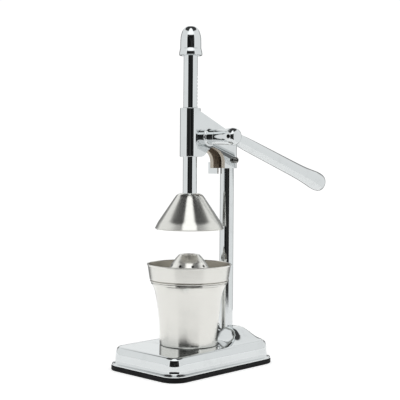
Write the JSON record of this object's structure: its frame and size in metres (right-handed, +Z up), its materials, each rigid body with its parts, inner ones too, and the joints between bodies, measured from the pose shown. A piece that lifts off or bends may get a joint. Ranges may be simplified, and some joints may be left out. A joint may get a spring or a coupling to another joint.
{
  "type": "citrus press juicer",
  "caption": "Upright lever press: a rack-and-pinion rod pushes a hollow steel cone over a perforated dome on a juice cup, on a heavy chromed base.",
  "frame": {"origin": "centre of the base's footprint, on the table", "axes": "+Z up; the cup stands towards -Y (the front) and the column towards +Y; the lever is on the +X side"},
  "size_m": [0.1094, 0.2655, 0.38],
  "materials": {
    "base_shell": "polished chrome plate",
    "rubber_base_mat": "moulded, semi-matt",
    "column_tube": "polished chrome plate",
    "column_plug": "plain bright steel",
    "column_bolt": "plain bright steel",
    "column_washer": "plain bright steel",
    "head_bracket": "polished chrome plate",
    "bracket_screw": "plain bright steel",
    "bracket_nut": "plain bright steel",
    "near_bush": "turned, oiled",
    "far_bush": "turned, oiled",
    "press_rod": "polished chrome plate",
    "rod_knob": "polished chrome plate",
    "press_cone": "spun satin stainless steel",
    "cone_screw": "plain bright steel",
    "cone_washer": "plain bright steel",
    "handle": "polished chrome plate",
    "pinion_shaft": "plain bright steel",
    "pinion_gear": "plain bright steel",
    "pinion_pin": "plain bright steel",
    "handle_set_screw": "plain bright steel",
    "shaft_end_screw": "plain bright steel",
    "shaft_end_washer": "plain bright steel",
    "juice_cup": "spun satin stainless steel",
    "strainer": "spun satin stainless steel"
  },
  "bodies": {
    "stand": {"base_shell": "base_shell", "rubber_base_mat": "rubber_base_mat", "column_tube": "column_tube", "column_plug": "column_plug", "column_bolt": "column_bolt", "column_washer": "column_washer", "head_bracket": "head_bracket", "bracket_screw": "bracket_screw", "bracket_nut": "bracket_nut", "near_bush": "near_bush", "far_bush": "far_bush"},
    "press": {"press_rod": "press_rod", "rod_knob": "rod_knob", "press_cone": "press_cone", "cone_screw": "cone_screw", "cone_washer": "cone_washer"},
    "lever": {"handle": "handle", "pinion_shaft": "pinion_shaft", "pinion_gear": "pinion_gear", "pinion_pin": "pinion_pin", "handle_set_screw": "handle_set_screw", "shaft_end_screw": "shaft_end_screw", "shaft_end_washer": "shaft_end_washer"},
    "cup": {"juice_cup": "juice_cup"},
    "strainer": {"strainer": "strainer"}
  },
  "joints": [
    {"name": "lever_turn", "type": "hinge", "parent": "stand", "child": "lever", "pos_m": [0, 0.01385, 0.2568], "axis": [1, 0, 0], "range_deg": [0, 223.45]},
    {"name": "rod_down", "type": "slide", "parent": "stand", "child": "press", "axis": [0, 0, -1], "range_m": [0, 0.0585]},
    {"name": "cup_out", "type": "slide", "parent": "stand", "child": "cup", "axis": [0, -1, 0], "range_m": [0, 0.15]},
    {"name": "strainer_lift", "type": "slide", "parent": "cup", "child": "strainer", "axis": [0, 0, 1], "range_m": [0, 0.045]}
  ],
  "couplings": [
    {"joint": "rod_down", "follows": "lever_turn", "m_per_rad": 0.015},
    {"joint": "strainer_lift", "follows": "cup_out", "ratio": 0.3}
  ]
}
